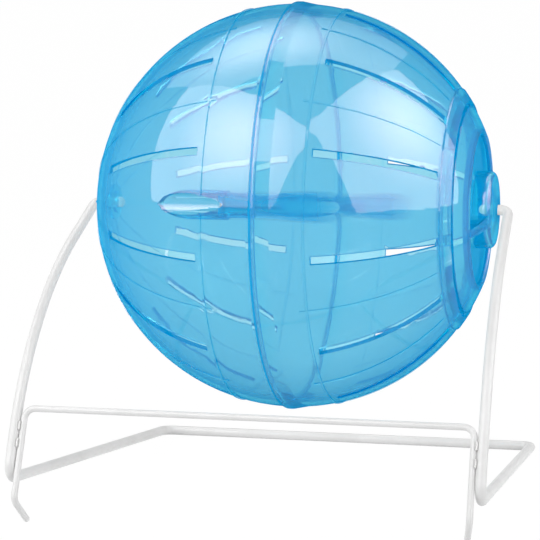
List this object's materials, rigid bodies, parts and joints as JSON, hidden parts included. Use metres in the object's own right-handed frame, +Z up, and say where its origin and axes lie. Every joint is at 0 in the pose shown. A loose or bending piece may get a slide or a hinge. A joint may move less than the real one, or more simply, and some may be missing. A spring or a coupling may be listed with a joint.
{
  "type": "pet exercise ball on stand",
  "caption": "Hollow pet exercise ball of two vented translucent shells with a twist-lock lid, turning on the bent-wire axle stubs of a coated wire floor stand.",
  "frame": {"origin": "middle of the outline of the whole part in X and Y, at the floor that the rear rail and both feet stand on", "axes": "+X along the axle towards the lid, -Y is the front where the stand's two feet are, +Z up"},
  "size_m": [0.204, 0.2189, 0.218],
  "materials": {
    "shell_plastic": "clear tinted gloss",
    "lid_plastic": "clear tinted gloss",
    "screw_steel": "plated",
    "coated_wire": "satin coating",
    "weld_metal": "coated weld"
  },
  "bodies": {
    "stand": {"frame_wire": "coated_wire", "cross_wire": "coated_wire", "weld_spots": "weld_metal"},
    "ball": {"left_shell": "shell_plastic", "right_shell": "shell_plastic", "shell_screws": "screw_steel"},
    "lid": {"lid": "lid_plastic"}
  },
  "joints": [
    {"name": "ball_spin", "type": "hinge", "parent": "stand", "child": "ball", "pos_m": [0, 0.00319, 0.127], "axis": [1, 0, 0], "continuous": true},
    {"name": "lid_turn", "type": "hinge", "parent": "ball", "child": "lid", "pos_m": [0, 0.00319, 0.127], "axis": [1, 0, 0], "range_deg": [0, 15]}
  ]
}
